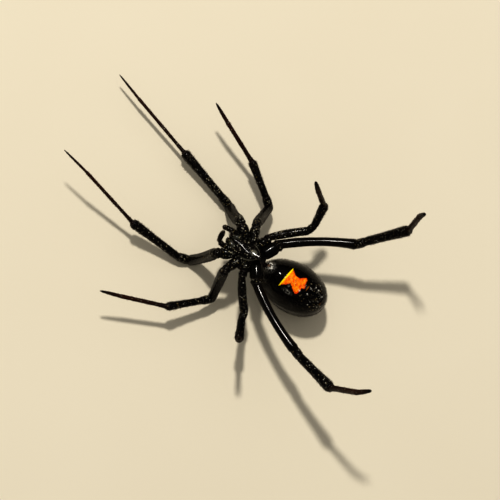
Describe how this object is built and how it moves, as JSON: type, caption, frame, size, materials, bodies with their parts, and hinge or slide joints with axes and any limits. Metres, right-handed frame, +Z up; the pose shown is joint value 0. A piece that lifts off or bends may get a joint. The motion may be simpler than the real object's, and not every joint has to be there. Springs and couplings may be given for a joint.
{
  "type": "black widow spider",
  "caption": "life-size adult female black widow, still model lying belly up with its legs spread and an hourglass mark on the round abdomen",
  "frame": {"origin": "middle of the small flat that the back of the abdomen rests on", "axes": "+X to the animal's own left, +Y towards its head, +Z up out of its belly"},
  "size_m": [0.0231, 0.0386, 0.0174],
  "materials": {
    "body_shell": "polished jet-black cuticle with fine bristles, and an orange-red hourglass on the belly",
    "leg_shell": "glossy black cuticle with fine bristles",
    "foot_shell": "glossy dark red-brown cuticle, black at the tips"
  },
  "bodies": {
    "root": {"prosoma": "body_shell", "pedicel": "body_shell", "abdomen": "body_shell", "spinnerets": "body_shell", "chelicera_left": "body_shell", "chelicera_right": "body_shell", "palp_left": "leg_shell", "palp_right": "leg_shell", "leg_1_left_coxa": "leg_shell", "leg_1_left_femur": "leg_shell", "leg_1_left_tibia": "leg_shell", "leg_2_left_coxa": "leg_shell", "leg_2_left_femur": "leg_shell", "leg_2_left_tibia": "leg_shell", "leg_3_left_coxa": "leg_shell", "leg_3_left_femur": "leg_shell", "leg_3_left_tibia": "leg_shell", "leg_4_left_coxa": "leg_shell", "leg_4_left_femur": "leg_shell", "leg_4_left_tibia": "leg_shell", "leg_1_right_coxa": "leg_shell", "leg_1_right_femur": "leg_shell", "leg_1_right_tibia": "leg_shell", "leg_2_right_coxa": "leg_shell", "leg_2_right_femur": "leg_shell", "leg_2_right_tibia": "leg_shell", "leg_3_right_coxa": "leg_shell", "leg_3_right_femur": "leg_shell", "leg_3_right_tibia": "leg_shell", "leg_4_right_coxa": "leg_shell", "leg_4_right_femur": "leg_shell", "leg_4_right_tibia": "leg_shell", "leg_1_left_foot": "foot_shell", "leg_2_left_foot": "foot_shell", "leg_3_left_foot": "foot_shell", "leg_4_left_foot": "foot_shell", "leg_1_right_foot": "foot_shell", "leg_2_right_foot": "foot_shell", "leg_3_right_foot": "foot_shell", "leg_4_right_foot": "foot_shell"}
  },
  "joints": []
}
